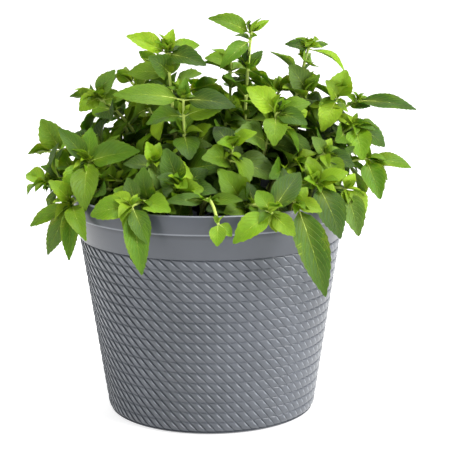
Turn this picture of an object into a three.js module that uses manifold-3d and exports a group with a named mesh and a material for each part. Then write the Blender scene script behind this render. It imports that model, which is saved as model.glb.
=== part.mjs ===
// A potted mint plant.
// A tapered plastic planter with a plain rim band holds potting soil, and a bushy mint plant grows
// from the soil as many separate shoots, each a square stem that carries opposite pairs of leaves.
// Millimetres, +Z up. The origin is the centre of the planter's flat underside, and -Y is the front.

import * as THREE from 'three';
import { mergeVertices } from 'three/addons/utils/BufferGeometryUtils.js';
import Module from 'manifold-3d';

const wasm = await Module();
wasm.setup();

// ---- driving dimensions ----

const RIM_RADIUS = 151.3; // outside of the rim band
const RIM_TOP = 243.5;
const RIM_BAND = 20.5; // height of the rim band
const RIM_WIDTH = 4.5; // width of the rim's flat top
const RIM_ROUND = 1.5; // rounding of the rim's top edges
const NECK_RADIUS = 147.6; // plain neck, just under the rim band
const WEAVE_TOP_RADIUS = 143; // top of the woven wall
const WEAVE_TOP = 195.5;
const BASE_RADIUS = 113.6; // where the wall would meet the floor with no rounding
const BASE_ROUND = 8;
const WALL = 3;
const FLOOR = 4;
const POT_SIDES = 40;

const SOIL_TOP = 216;
const SOIL_SHOULDER = 5; // the soil's edge sinks by this much against the wall
const GAP = 0.3; // clearance between touching pieces

const STEM_FOOT = 1.9; // half-width of a square stem where it leaves the soil
const STEM_END = 1.0; // half-width at the shoot's end
const HIGHEST_NODE = 0.985; // the last leaves join the stem just under its end

const LEAF_WIDTH = 0.3; // half-width of a leaf, as a part of its length
const LEAF_THICKNESS = 1.0;
const STALK = 1.6; // height of a leaf's stalk where it joins the stem
const LONG_LEAF = 40; // leaves longer than this have one more bend
const SHORT_SECTIONS = [[0.5, 1]]; // how far along a leaf, and how wide, as a part of its width
const LONG_SECTIONS = [[0.4, 1], [0.73, 0.7]];
const LEAF_ARCH = 0.09; // height of a leaf's bow, as a part of its length
const LEAF_CLEARANCE = 0.6; // space kept between leaves, all round

const YOUNG_LIFT = 48; // degrees that a shoot's top pair rises from square to the stem
const PAIR_LIFT = 14; // degrees that the other pairs rise
const DROOP = 0.15; // how far the other pairs hang, as a part of their length
const OUTER_DROOP = 0.45; // how much further they hang when they point outwards
const FACE_OUT = 0.75; // how far leaf faces turn outwards, against up
const FACE_UP = 0.65;
// How much each leaf of a pair strays: radians, then parts of a whole.
const STRAY = { turn: 0.3, half: 0.2, lift: 0.2, face: 0.35, length: 0.14, width: 0.1, arch: 0.04 };

// The bare patch of soil at the back where the plant is watered: lowest and highest corner.
const WATERING = [[-16, 110, SOIL_TOP], [16, 136, 330]];

const COLOURS = { pot: 0x787c82, soil: 0x2c2119, leaf: 0x6b9a2c, young: 0x8fb83a };

const radians = THREE.MathUtils.degToRad;
const vector = (x, y, z) => new THREE.Vector3(x, y, z);

// ---- the shoots ----

// Shoots placed by hand, from the front of the plant to its crown.
//   foot    where the stem leaves the soil, x and y
//   end     where the stem ends
//   bend    the stem's control point, as parts of the way across and up from foot to end
//   leaves  leaves set by hand: part of the way up the stem, x, y and z from there to the leaf's
//           tip, and half-width
//   pairs   where plain opposite pairs sit, and the length of their leaves
const SHOOTS = [
  { foot: [34, 5], end: [46, 0, 417], bend: [0.3, 0.6],
    leaves: [[1, -45, -8, 19, 10], [1, 20, 8, 14, 4.5], [0.985, 38, -4, -18, 8],
      [0.94, -33, -22, -26, 9], [0.76, 16, 6, 20, 6]],
    pairs: [[0.76, 33], [0.6, 49], [0.47, 47], [0.36, 41], [0.21, 35]] },
  { foot: [78, 22], end: [109, 10, 400], bend: [0.3, 0.6],
    leaves: [[1, -26, -4, 5, 6], [1, 9, -5, 11, 4], [1, 22, 8, 3, 4], [0.98, 54, 6, -12, 9, 10]],
    pairs: [[0.88, 37], [0.76, 47], [0.63, 51], [0.5, 47], [0.4, 41], [0.25, 35]] },
  { foot: [-34, 12], end: [-45, -20, 398], bend: [0.3, 0.6],
    leaves: [[1, -43, -4, 19, 10.5], [1, 7, -2, 26, 7], [1, 36, 26, 8, 8], [0.98, 42, -20, -10, 11],
      [0.84, -17, -24, 26, 13], [0.84, -46, 14, 0, 10]],
    pairs: [[0.72, 45], [0.58, 49], [0.45, 43], [0.3, 37]] },
  { foot: [-27, -38], end: [-27, -58, 352], bend: [0.2, 0.6],
    leaves: [[1, -74, -12, 7, 11], [1, 55, -4, -6, 11], [1, 3, -8, 24, 7], [1, -6, 10, 22, 5]],
    pairs: [[0.83, 45], [0.66, 41], [0.5, 37], [0.35, 31]] },
  { foot: [22, 48], end: [24, 22, 384], bend: [0.2, 0.6],
    leaves: [[1, -28, -12, 6, 8], [1, 12, 4, 20, 6]],
    pairs: [[0.9, 39], [0.77, 47], [0.63, 49], [0.5, 45], [0.35, 39]] },
  { foot: [48, -28], end: [72, -50, 336], bend: [0.25, 0.65],
    leaves: [[1, -31, -2, 28, 13], [1, 36, 4, 10, 9.5], [1, 31, -16, -9, 9.5], [1, 9, -3, 15, 4],
      [0.95, -3, -28, -27, 12]],
    pairs: [[0.8, 47], [0.64, 45], [0.48, 39], [0.33, 33]] },
  { foot: [84, 30], end: [107, 2, 352], bend: [0.25, 0.65],
    leaves: [[1, -20, -4, 30, 12], [1, 12, -12, 20, 7]],
    pairs: [[0.9, 43], [0.77, 49], [0.62, 45], [0.48, 39], [0.33, 33]] },
  { foot: [100, 26], end: [140, 0, 344], bend: [0.2, 0.7],
    leaves: [[1, 9, -3, 32, 14], [1, -13, -14, 22, 9], [0.97, -17, -22, -30, 12],
      [0.96, -30, 6, 6, 6]],
    pairs: [[0.86, 37], [0.7, 47], [0.55, 43], [0.4, 37]] },
  { foot: [92, 54], end: [163, 14, 340], bend: [0.2, 0.75],
    leaves: [[1, 66, -6, -8, 8.5], [1, -11, -6, 7, 4], [0.9, 25, -5, 0, 6.5], [0.9, -14, 4, 6, 3.5]],
    pairs: [[0.72, 43], [0.56, 45], [0.41, 39]] },
  { foot: [106, 2], end: [159, -4, 315], bend: [0.2, 0.8],
    leaves: [[1, 7, -26, -34, 13], [1, 35, 2, -23, 10.5], [1, 12, -8, 6, 5], [1, -20, 8, 10, 6]],
    pairs: [[0.82, 43], [0.64, 45], [0.49, 39]] },
  { foot: [98, -24], end: [171, -12, 279], bend: [0.25, 1],
    leaves: [[1, 14, -26, -40, 12.5], [1, 53, 8, -10, 8], [1, 26, 22, -28, 5.5], [1, 4, -4, 13, 5],
      [1, -10, -10, 6, 5]],
    pairs: [[0.78, 45], [0.58, 41], [0.43, 35]] },
  { foot: [84, -38], end: [122, -58, 292], bend: [0.2, 0.8],
    leaves: [[1, 15, -22, -30, 12], [1, 32, -6, -12, 9], [1, -14, -8, 20, 7], [1, 8, 8, 16, 5]],
    pairs: [[0.8, 41], [0.6, 39], [0.45, 33]] },
  { foot: [64, -62], end: [112, -92, 266], bend: [0.25, 0.9],
    leaves: [[1, 33, -2, 12, 9], [1, 18, -33, -52, 14.5], [1, -8, 10, 28, 8], [1, -14, -14, 8, 6]],
    pairs: [[0.7, 39], [0.55, 33]] },
  { foot: [46, -78], end: [88, -136, 254], bend: [0.3, 1.25],
    leaves: [[1, 29, -33, -90, 16], [1, 12, 8, 14, 6], [1, 26, -8, -8, 8]],
    pairs: [[0.66, 37], [0.51, 31]] },
  { foot: [90, -54], end: [143, -82, 258], bend: [0.25, 1.2],
    leaves: [[1, 13, -20, -46, 12.5], [1, 24, 18, -30, 10], [1, 10, 4, 16, 6]],
    pairs: [[0.72, 41], [0.57, 35]] },
  { foot: [22, -84], end: [62, -156, 247], bend: [0.35, 1.5],
    leaves: [[1, -39, -15, -27, 12], [1, 31, 32, 36, 12.5], [1, -14, 16, 20, 9], [1, 5, -5, -19, 5.5],
      [1, 25, -5, -22, 9]],
    pairs: [[0.6, 29], [0.45, 30]] },
  { foot: [-12, -72], end: [8, -165, 238], bend: [0.45, 3],
    leaves: [[0.5, -44, -14, 2, 6.5], [0.52, 36, -10, 2, 6.5], [1, -1, -9, -22, 8], [1, 13, -4, -14, 6]],
    pairs: [] },
  { foot: [-50, -58], end: [-58, -90, 290], bend: [0.2, 0.8],
    leaves: [[1, 4, -20, -25, 7.5], [1, -7, -4, 22, 7.5], [1, 6, 5, 20, 6], [1, 14, -6, -2, 4.5]],
    pairs: [[0.82, 39], [0.6, 37], [0.45, 31]] },
  { foot: [-24, -68], end: [-33, -102, 258], bend: [0.3, 1],
    leaves: [[1, 22, -8, 16, 13], [1, -18, -8, 20, 12], [1, -34, -20, -12, 10], [0.86, -30, -4, -8, 9]],
    pairs: [[0.7, 40], [0.55, 36], [0.42, 30]] },
  { foot: [-62, -12], end: [-131, -42, 283], bend: [0.25, 0.9],
    leaves: [[1, -31, -2, 37, 9.5], [1, 57, -20, 14, 14], [1, -24, -20, -35, 13], [1, 7, -48, -44, 14],
      [1, 3, 8, 36, 9]],
    pairs: [[0.78, 43], [0.58, 39], [0.43, 33]] },
  { foot: [-74, -36], end: [-148, -62, 240], bend: [0.3, 2.6],
    leaves: [[1, -24, 0, 27, 9.5], [1, -46, 10, -26, 8], [1, 26, -50, -26, 10], [1, -27, -10, -53, 9.5],
      [1, -2, -30, -55, 9.5], [1, -4, -8, 10, 4]],
    pairs: [[0.68, 43], [0.53, 37]] },
  { foot: [-44, -74], end: [-80, -138, 252], bend: [0.3, 1.25],
    leaves: [[1, 17, -20, -36, 10], [1, 10, -24, -66, 11.5], [1, -43, 2, -9, 12.5],
      [1, -18, 10, 12, 8], [0.9, -10, 6, 26, 8], [0.84, -26, 2, 14, 10]],
    pairs: [[0.74, 42], [0.6, 42], [0.46, 34]] },
  { foot: [-56, 34], end: [-123, 12, 346], bend: [0.2, 0.75],
    leaves: [[1, 19, -2, 31, 9.5], [1, -20, -12, -12, 10], [0.94, -24, -10, -2, 10],
      [0.94, 26, -8, 4, 9]],
    pairs: [[0.8, 45], [0.65, 45], [0.5, 41], [0.35, 35]] },
  { foot: [-84, 14], end: [-164, -6, 262], bend: [0.3, 1.2],
    leaves: [[1, -22, -2, 11, 5.5], [1, -20, -6, -14, 5.5], [1, -6, 8, 17, 6]],
    pairs: [[0.84, 35], [0.66, 43], [0.51, 37]] },
];

// The other shoots fill the plant out in rings round its middle.
//   from, to  the ring's first and last compass direction, in degrees from +X towards the back
//   foot      how far from the middle the stems leave the soil
//   reach     how far from the middle they end, and height how high
const RINGS = [
  { count: 8, from: 30, to: 188, foot: 96, reach: 176, height: 268, bend: [0.3, 1.15], tiers: 5 },
  { count: 8, from: 4, to: 186, foot: 72, reach: 134, height: 318, bend: [0.2, 0.85], tiers: 6 },
  { count: 5, from: 20, to: 168, foot: 40, reach: 76, height: 358, bend: [0.2, 0.7], tiers: 6 },
  { count: 4, from: 196, to: 336, foot: 46, reach: 84, height: 304, bend: [0.2, 0.7], tiers: 5 },
  { count: 4, from: 210, to: 330, foot: 62, reach: 112, height: 262, bend: [0.2, 0.9], tiers: 3 },
  { count: 4, from: 25, to: 335, foot: 12, reach: 30, height: 318, bend: [0.2, 0.6], tiers: 5 },
];
// A ring's stems stray this far at the foot, outwards and in height, and in direction in radians.
const RING_SCATTER = [5, 14, 22, 0.06];
const TIER_STEP = 0.14; // pairs are this far apart on a ring's stems, as a part of their length
const TIER_LENGTHS = [28, 42, 50, 50, 44, 36]; // leaf lengths, from the shoot's end down
const SEED = 11;

// A small repeatable random generator, the well-known mulberry32: numbers from 0 to 1.
function randomNumbers(seed) {
  let state = seed;
  return () => {
    state = (state + 0x6d2b79f5) | 0;
    let mixed = Math.imul(state ^ (state >>> 15), 1 | state);
    mixed = (mixed + Math.imul(mixed ^ (mixed >>> 7), 61 | mixed)) ^ mixed;
    return ((mixed ^ (mixed >>> 14)) >>> 0) / 4294967296;
  };
}

// Adds the rings' shoots to the ones placed by hand, in the same terms.
function allShoots(random) {
  const scatter = (amount) => (random() * 2 - 1) * amount;
  const shoots = [...SHOOTS];
  for (const ring of RINGS) {
    for (let i = 0; i < ring.count; i += 1) {
      const angle = radians(ring.from + ((ring.to - ring.from) * i) / (ring.count - 1));
      const foot = ring.foot + scatter(RING_SCATTER[0]);
      const reach = ring.reach + scatter(RING_SCATTER[1]);
      const height = ring.height + scatter(RING_SCATTER[2]);
      const turn = angle + scatter(RING_SCATTER[3]);
      shoots.push({
        foot: [foot * Math.cos(angle), foot * Math.sin(angle)],
        end: [reach * Math.cos(turn), reach * Math.sin(turn), height],
        bend: ring.bend,
        leaves: [],
        pairs: TIER_LENGTHS.slice(0, ring.tiers).map((length, tier) => [1 - tier * TIER_STEP, length]),
      });
    }
  }
  return shoots;
}

// A stem's line, from just above the soil to the shoot's end.
function stemLine({ foot, end, bend }) {
  const start = vector(foot[0], foot[1], SOIL_TOP + GAP);
  const finish = vector(...end);
  const [across, up] = bend;
  const middle = vector(
    THREE.MathUtils.lerp(start.x, finish.x, across),
    THREE.MathUtils.lerp(start.y, finish.y, across),
    THREE.MathUtils.lerp(start.z, finish.z, up),
  );
  return new THREE.QuadraticBezierCurve3(start, middle, finish);
}

// ---- solids made of sections ----

// Skins one section to the next. Their corners follow each other in turn about the way they run.
function skin(first, corners) {
  const faces = [];
  for (let corner = 0; corner < corners; corner += 1) {
    const a = first + corner;
    const b = first + ((corner + 1) % corners);
    if (corner < corners - 1) faces.push([a, b, b + corners], [a, b + corners, a + corners]);
    else faces.push([a, b, a + corners], [b, b + corners, a + corners]);
  }
  return faces;
}

// A stem is straight between these parts of its length.
const STEM_STOPS = [0, 0.22, 0.44, 0.67, 0.9, 1];

// A point on the stem as it is built, with its straight stretches.
function onStem(line, part) {
  const next = Math.max(1, STEM_STOPS.findIndex((stop) => stop >= part));
  const [low, high] = [STEM_STOPS[next - 1], STEM_STOPS[next]];
  return line.getPoint(low).lerp(line.getPoint(high), (part - low) / (high - low));
}

// A square stem that narrows towards its end.
function stemSolid({ line }, extra = 0) {
  const across = vector(line.v2.y - line.v0.y, line.v0.x - line.v2.x, 0).normalize();
  const points = STEM_STOPS.flatMap((part) => {
    const centre = line.getPoint(part);
    const back = vector().crossVectors(line.getTangent(part), across);
    const half = THREE.MathUtils.lerp(STEM_FOOT, STEM_END, part) + extra;
    const corners = [[1, 1], [-1, 1], [-1, -1], [1, -1]].map(([a, b]) => (
      centre.clone().addScaledVector(across, a * half).addScaledVector(back, b * half)));
    // The foot is cut level, so that it stands clear of the soil.
    return part === 0 ? corners.map((corner) => corner.setZ(centre.z)) : corners;
  });
  const last = points.length - 4;
  const faces = [[0, 2, 1], [0, 3, 2], [last, last + 1, last + 2], [last, last + 2, last + 3]];
  for (let first = 0; first < last; first += 4) faces.push(...skin(first, 4));
  return { points, faces };
}

// A leaf is given by where it joins the stem, its compass direction, its rise, its roll about its
// own length, its length, its half-width and its arch, the height of its bow over that length.
// It starts as an upright edge inside the stem and widens to a flat blade with a keel.
function leafSolid(leaf, extra = 0) {
  const { cos, sin } = Math;
  const along = vector(
    cos(leaf.compass) * cos(leaf.rise), sin(leaf.compass) * cos(leaf.rise), sin(leaf.rise));
  const level = vector(-sin(leaf.compass), cos(leaf.compass), 0);
  const above = vector().crossVectors(along, level);
  const side = level.clone().multiplyScalar(cos(leaf.roll)).addScaledVector(above, sin(leaf.roll));
  const face = vector().crossVectors(along, side);
  const length = leaf.length + extra;
  const width = leaf.width + extra;
  const place = (part, across, high) => leaf.at.clone().addScaledVector(along, part * length)
    .addScaledVector(side, across)
    .addScaledVector(face, high + leaf.arch * leaf.length * 4 * part * (1 - part));
  const section = ([part, share]) => [
    place(part, width * share, extra),
    place(part, -width * share, extra),
    place(part, 0, -LEAF_THICKNESS - extra),
  ];
  const sections = leaf.length > LONG_LEAF ? LONG_SECTIONS : SHORT_SECTIONS;
  const points = [place(0, 0, STALK / 2), place(0, 0, -STALK / 2), ...sections.flatMap(section)];
  const faces = [[0, 3, 2], [0, 2, 1], [0, 1, 3], [1, 2, 4], [1, 4, 3]];
  const last = points.length - 3;
  for (let first = 2; first < last; first += 3) faces.push(...skin(first, 3));
  faces.push([last, last + 1, last + 3], [last + 1, last + 2, last + 3], [last + 2, last, last + 3]);
  points.push(place(1, 0, 0));
  return { points, faces };
}

// ---- keeping the leaves clear of each other ----

// What the tests need to know of a solid: its triangles, its edges and its box.
function outlineOf({ points, faces }) {
  const edges = new Map();
  for (const [a, b, c] of faces) {
    for (const [p, q] of [[a, b], [b, c], [c, a]]) {
      edges.set(`${Math.min(p, q)} ${Math.max(p, q)}`, [p, q]);
    }
  }
  return { points, faces, edges: [...edges.values()], box: new THREE.Box3().setFromPoints(points) };
}

// Whether the stretch from p to q passes through a triangle.
function crosses(p, q, a, b, c) {
  const way = q.clone().sub(p);
  const ray = new THREE.Ray(p, way.clone().normalize());
  const hit = ray.intersectTriangle(a, b, c, false, vector());
  return hit !== null && hit.distanceTo(p) <= way.length();
}

// Whether two solids meet. Leaves at one node may meet at their stalks, corners 0 and 1 of each.
function touch(one, other, stalksMeet) {
  if (!one.box.intersectsBox(other.box)) return false;
  for (const [first, second] of [[one, other], [other, one]]) {
    for (const [p, q] of first.edges) {
      if (stalksMeet && Math.min(p, q) < 2) continue;
      const start = first.points[p];
      const finish = first.points[q];
      for (const [a, b, c] of second.faces) {
        if (crosses(start, finish, second.points[a], second.points[b], second.points[c])) return true;
      }
    }
  }
  return false;
}

const POT_CLEARANCE = 1.5; // space kept between a leaf and the pot or soil

// The planter's outer radius at a height.
function outerRadius(z) {
  if (z > RIM_TOP - RIM_BAND) return RIM_RADIUS;
  const [low, high, bottom, top] = z > WEAVE_TOP
    ? [WEAVE_TOP_RADIUS, NECK_RADIUS, WEAVE_TOP, RIM_TOP - RIM_BAND]
    : [BASE_RADIUS, WEAVE_TOP_RADIUS, 0, WEAVE_TOP];
  return THREE.MathUtils.mapLinear(z, bottom, top, low, high);
}

// Whether a point is clear of the planter, the soil and the bare patch.
function pointIsClear({ x, y, z }) {
  const [low, high] = WATERING;
  if (x > low[0] && x < high[0] && y > low[1] && y < high[1] && z < high[2]) return false;
  if (z > RIM_TOP + POT_CLEARANCE) return true;
  const radius = Math.hypot(x, y);
  if (radius > outerRadius(z) + POT_CLEARANCE) return true;
  return z > SOIL_TOP + POT_CLEARANCE && radius < RIM_RADIUS - RIM_WIDTH - WALL - POT_CLEARANCE;
}

const EDGE_SAMPLES = [0, 0.25, 0.5, 0.75, 1];

function isClear(outline, placed, leaf, shoot) {
  for (const [p, q] of outline.edges) {
    for (const part of EDGE_SAMPLES) {
      if (!pointIsClear(outline.points[p].clone().lerp(outline.points[q], part))) return false;
    }
  }
  const sharesNode = (other) => other.shoot === shoot && other.node === leaf.node;
  return !placed.some((other) => touch(outline, other, sharesNode(other)));
}

// A leaf that would touch another is turned, tilted and made smaller in these steps, in turn:
// compass turn and tilt in degrees, and size.
const TRIES = [
  [0, 0, 1], [10, 0, 1], [-10, 0, 1], [0, 10, 1], [0, -10, 1], [20, 0, 1], [-20, 0, 1], [0, 20, 1],
  [0, -20, 1], [18, 18, 0.95], [-18, 18, 0.95], [18, -18, 0.9], [-18, -18, 0.9], [34, 0, 0.9],
  [-34, 0, 0.9], [0, 36, 0.85], [0, -36, 0.8], [30, 25, 0.75], [-30, 25, 0.75], [40, -20, 0.7],
  [-40, -20, 0.7], [0, 0, 0.65], [20, 40, 0.6], [-20, 40, 0.6], [50, 0, 0.5], [-50, 0, 0.5],
];

// Places a leaf where it is clear of everything but its own stem.
function growLeaf(leaf, shoot, placed) {
  const others = placed.filter((other) => other.shoot !== shoot || other.node !== undefined);
  for (const [turn, tilt, size] of TRIES) {
    const tried = {
      ...leaf,
      compass: leaf.compass + radians(turn),
      rise: leaf.rise + radians(tilt),
      length: leaf.length * size,
      width: leaf.width * size,
    };
    const outlines = [LEAF_CLEARANCE, 0].map((extra) => outlineOf(leafSolid(tried, extra)));
    if (outlines.every((outline) => isClear(outline, others, leaf, shoot))) {
      placed.push({ ...outlines[1], shoot, node: leaf.node });
      return tried;
    }
  }
  return null;
}

// ---- the leaves of a shoot ----

// A leaf's place on its stem, its direction and the roll that turns its face most nearly towards.
function leafAlong(line, part, way, towards) {
  const compass = Math.atan2(way.y, way.x);
  const rise = Math.asin(way.z / way.length());
  const level = vector(-Math.sin(compass), Math.cos(compass), 0);
  const above = way.clone().normalize().cross(level);
  const roll = Math.atan2(-towards.dot(level), towards.dot(above));
  return { at: onStem(line, Math.min(part, HIGHEST_NODE)), node: part, compass, rise, roll };
}

const FRONT_LEAN = 58; // how far a leaf set by hand faces the front, from 0 for straight up

// A leaf set by hand, from its place on the stem and the way to its tip.
function setLeaf(line, [part, x, y, z, width, lean = FRONT_LEAN]) {
  const way = vector(x, y, z);
  const towards = vector(0, -Math.sin(radians(lean)), Math.cos(radians(lean)));
  return { ...leafAlong(line, part, way, towards), length: way.length(), width, arch: LEAF_ARCH };
}

// An opposite pair. Each pair stands across the one below it, and young pairs point up the stem.
function pairOfLeaves(line, [part, size], tier, random) {
  const scatter = (amount) => (random() * 2 - 1) * amount;
  const tangent = line.getTangent(part);
  const across = vector(line.v2.y - line.v0.y, line.v0.x - line.v2.x, 0).normalize();
  const back = vector().crossVectors(tangent, across);
  const turn = (tier * Math.PI) / 2 + scatter(STRAY.turn);
  return [0, Math.PI].map((half) => {
    const lift = radians(tier === 0 ? YOUNG_LIFT : PAIR_LIFT) + scatter(STRAY.lift);
    const angle = turn + half + scatter(STRAY.half);
    const way = across.clone().multiplyScalar(Math.cos(angle)).addScaledVector(back, Math.sin(angle))
      .multiplyScalar(Math.cos(lift)).addScaledVector(tangent, Math.sin(lift));
    const outwards = line.getPoint(part).setZ(0).normalize();
    if (tier > 0) way.z -= DROOP + OUTER_DROOP * way.dot(outwards);
    way.normalize();
    const towards = outwards.multiplyScalar(FACE_OUT)
      .add(vector(scatter(STRAY.face), scatter(STRAY.face), FACE_UP));
    const length = size * (1 + scatter(STRAY.length));
    return {
      ...leafAlong(line, part, way, towards),
      length,
      width: length * LEAF_WIDTH * (1 + scatter(STRAY.width)),
      arch: LEAF_ARCH + scatter(STRAY.arch),
    };
  });
}

// Grows every shoot: stems first, then the leaves set by hand, then the pairs from the ends down.
function growPlant() {
  const random = randomNumbers(SEED);
  const shoots = allShoots(random).map((shoot, index) => ({
    ...shoot, index, line: stemLine(shoot), grown: [],
  }));
  const placed = shoots.map((shoot) => ({ ...outlineOf(stemSolid(shoot, GAP)), shoot: shoot.index }));
  for (const shoot of shoots) {
    for (const row of shoot.leaves) {
      shoot.grown.push(growLeaf(setLeaf(shoot.line, row), shoot.index, placed));
    }
  }
  const tiers = Math.max(...shoots.map((shoot) => shoot.pairs.length));
  for (let tier = 0; tier < tiers; tier += 1) {
    for (const shoot of shoots) {
      if (tier >= shoot.pairs.length) continue;
      const pair = pairOfLeaves(shoot.line, shoot.pairs[tier], tier + shoot.leaves.length, random);
      for (const leaf of pair) shoot.grown.push(growLeaf(leaf, shoot.index, placed));
    }
  }
  for (const shoot of shoots) shoot.grown = shoot.grown.filter((leaf) => leaf !== null);
  return shoots;
}

// ---- geometry and meshes ----

const SAME_POINT = 1e-4; // corners nearer than this are one corner

function geometryOf({ points, faces }) {
  const geometry = new THREE.BufferGeometry().setFromPoints(points);
  geometry.setIndex(faces.flat());
  return geometry;
}

function toSolid(geometry) {
  const bare = geometry.clone();
  bare.deleteAttribute('normal');
  bare.deleteAttribute('uv');
  const merged = mergeVertices(bare, SAME_POINT);
  return new wasm.Manifold(new wasm.Mesh({
    numProp: 3,
    vertProperties: new Float32Array(merged.attributes.position.array),
    triVerts: new Uint32Array(merged.index.array),
  }));
}

function fromSolid(solid) {
  const { vertProperties, triVerts } = solid.getMesh();
  const geometry = new THREE.BufferGeometry();
  geometry.setAttribute('position', new THREE.BufferAttribute(vertProperties, 3));
  geometry.setIndex(new THREE.BufferAttribute(triVerts, 1));
  geometry.computeVertexNormals();
  return geometry;
}

function makeMesh(name, geometry, color, roughness) {
  const material = new THREE.MeshStandardMaterial({ color, roughness, metalness: 0 });
  const mesh = new THREE.Mesh(geometry, material);
  mesh.name = name;
  return mesh;
}

// Turns a profile of [radius, height] points about +Z.
function turned(profile) {
  const points = profile.map(([radius, height]) => new THREE.Vector2(radius, height));
  return new THREE.LatheGeometry(points, POT_SIDES).rotateX(Math.PI / 2);
}

// Points of an arc, from one angle to another in degrees, about a centre.
function arc(radius, height, round, from, to, steps) {
  return Array.from({ length: steps + 1 }, (_, i) => {
    const angle = radians(from + ((to - from) * i) / steps);
    return [radius + round * Math.cos(angle), height + round * Math.sin(angle)];
  });
}

const RIM_INSIDE = RIM_RADIUS - RIM_WIDTH;
const FLOOR_INSIDE = outerRadius(FLOOR) - WALL - 1; // radius of the planter's floor, inside
const BAND_BOTTOM = RIM_TOP - RIM_BAND;

// The planter: a thin shell with a rounded foot, a plain neck and an upright rim band.
function planter() {
  const foot = outerRadius(BASE_ROUND) - BASE_ROUND;
  return turned([
    [0, 0],
    ...arc(foot, BASE_ROUND, BASE_ROUND, -90, 0, 3),
    [WEAVE_TOP_RADIUS, WEAVE_TOP],
    [NECK_RADIUS, BAND_BOTTOM],
    [RIM_RADIUS, BAND_BOTTOM],
    ...arc(RIM_RADIUS - RIM_ROUND, RIM_TOP - RIM_ROUND, RIM_ROUND, 0, 90, 1),
    ...arc(RIM_INSIDE + RIM_ROUND, RIM_TOP - RIM_ROUND, RIM_ROUND, 90, 180, 1),
    [NECK_RADIUS - WALL, BAND_BOTTOM],
    [WEAVE_TOP_RADIUS - WALL, WEAVE_TOP],
    [FLOOR_INSIDE, FLOOR],
    [0, FLOOR],
  ]);
}

// The soil fills the planter to below the rim, and sinks a little where it meets the wall.
function soil() {
  const inside = (z) => outerRadius(z) - WALL - GAP;
  return turned([
    [0, FLOOR + GAP],
    [FLOOR_INSIDE - GAP * 2, FLOOR + GAP],
    [WEAVE_TOP_RADIUS - WALL - GAP * 2, WEAVE_TOP],
    [inside(SOIL_TOP - SOIL_SHOULDER) - GAP, SOIL_TOP - SOIL_SHOULDER],
    [inside(SOIL_TOP) - SOIL_SHOULDER * 2, SOIL_TOP],
    [0, SOIL_TOP],
  ]);
}

// One shoot: its stem and leaves grown together as one piece.
function shootMesh(shoot, number) {
  let solid = toSolid(geometryOf(stemSolid(shoot)));
  for (const leaf of shoot.grown) solid = solid.add(toSolid(geometryOf(leafSolid(leaf))));
  const name = `shoot_${String(number).padStart(2, '0')}`;
  return makeMesh(name, fromSolid(solid), number % 3 ? COLOURS.leaf : COLOURS.young, 0.6);
}

const group = new THREE.Group();
group.add(makeMesh('planter', planter(), COLOURS.pot, 0.45));
group.add(makeMesh('soil', soil(), COLOURS.soil, 0.95));
growPlant().forEach((shoot, index) => group.add(shootMesh(shoot, index + 1)));

export default group;
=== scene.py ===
# %% [markdown]
# # A potted mint plant
# A bushy mint grows from the soil of a tapered plastic planter. The planter's wall is moulded to
# look like a basket, and a plain rim band runs round its top. This lesson dresses the packed
# solids one piece at a time: the planter, the soil, and then the shoots with their leaves. The
# frame says where everything is, so each piece is made in place, in metres, with the object
# standing on the floor at the origin and its front towards -Y.

# %% The frame
import math
import random

import bmesh
import bpy
import numpy as np
from mathutils import Matrix, Vector, noise


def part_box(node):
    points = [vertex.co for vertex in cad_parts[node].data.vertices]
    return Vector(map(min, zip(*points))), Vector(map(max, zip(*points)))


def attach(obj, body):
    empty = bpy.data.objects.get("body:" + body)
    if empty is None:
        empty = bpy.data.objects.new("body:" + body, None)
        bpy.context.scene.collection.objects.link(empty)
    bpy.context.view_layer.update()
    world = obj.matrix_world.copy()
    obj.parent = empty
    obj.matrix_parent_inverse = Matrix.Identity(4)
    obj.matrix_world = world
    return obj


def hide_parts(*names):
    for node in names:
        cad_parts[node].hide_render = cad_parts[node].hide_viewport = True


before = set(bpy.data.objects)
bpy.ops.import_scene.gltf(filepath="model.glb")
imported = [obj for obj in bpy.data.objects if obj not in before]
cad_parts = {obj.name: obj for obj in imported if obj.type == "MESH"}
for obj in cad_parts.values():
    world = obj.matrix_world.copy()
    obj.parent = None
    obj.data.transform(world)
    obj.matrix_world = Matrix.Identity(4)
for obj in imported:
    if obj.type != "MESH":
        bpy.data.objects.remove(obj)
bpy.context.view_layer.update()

SHOOT_NODES = sorted(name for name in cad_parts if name.startswith("shoot"))
print("packed nodes:", len(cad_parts), "of them shoots:", len(SHOOT_NODES))

# %% [markdown]
# ## Small helpers
# An operator acts on everything that is selected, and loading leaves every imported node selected.
# So each piece starts by deselecting all. The edit-mode work then chooses its vertices in code,
# by their place, as a hand would choose them with the mouse.

# %% Helpers for modelling


def nothing_selected():
    if bpy.context.mode != "OBJECT":
        bpy.ops.object.mode_set(mode="OBJECT")
    bpy.ops.object.select_all(action="DESELECT")


def select_where(piece, chosen):
    """Selects the vertices that chosen(place) says, and leaves the piece in edit mode."""
    bpy.ops.object.mode_set(mode="EDIT")
    bpy.ops.mesh.select_mode(type="VERT")
    bpy.ops.mesh.select_all(action="DESELECT")
    bpy.ops.object.mode_set(mode="OBJECT")
    for vertex in piece.data.vertices:
        vertex.select = bool(chosen(vertex.co))
    bpy.ops.object.mode_set(mode="EDIT")


def named(piece, name):
    piece.name = name
    piece.data.name = name
    return piece


def finished(piece, slot_name, *nodes):
    """Settles a piece: it rides with the object and stands for its nodes, which are hidden. The
    slot name is not used.
    """
    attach(piece, "root")
    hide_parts(*nodes)
    piece.data.validate()
    print(piece.name, "has", len(piece.data.polygons), "faces")
    return piece


# %% [markdown]
# ## A way to write materials
# A material is a tree of nodes, and a pattern in it is a sum. Here `Finish` holds one material and
# makes any node, and `Wire` wraps a socket so that a sum such as `1 - mask * 0.5` adds its own
# Math nodes. Colours are mixed by `blend`, because a Math node would turn them grey.

# %% Wires and finishes


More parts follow.
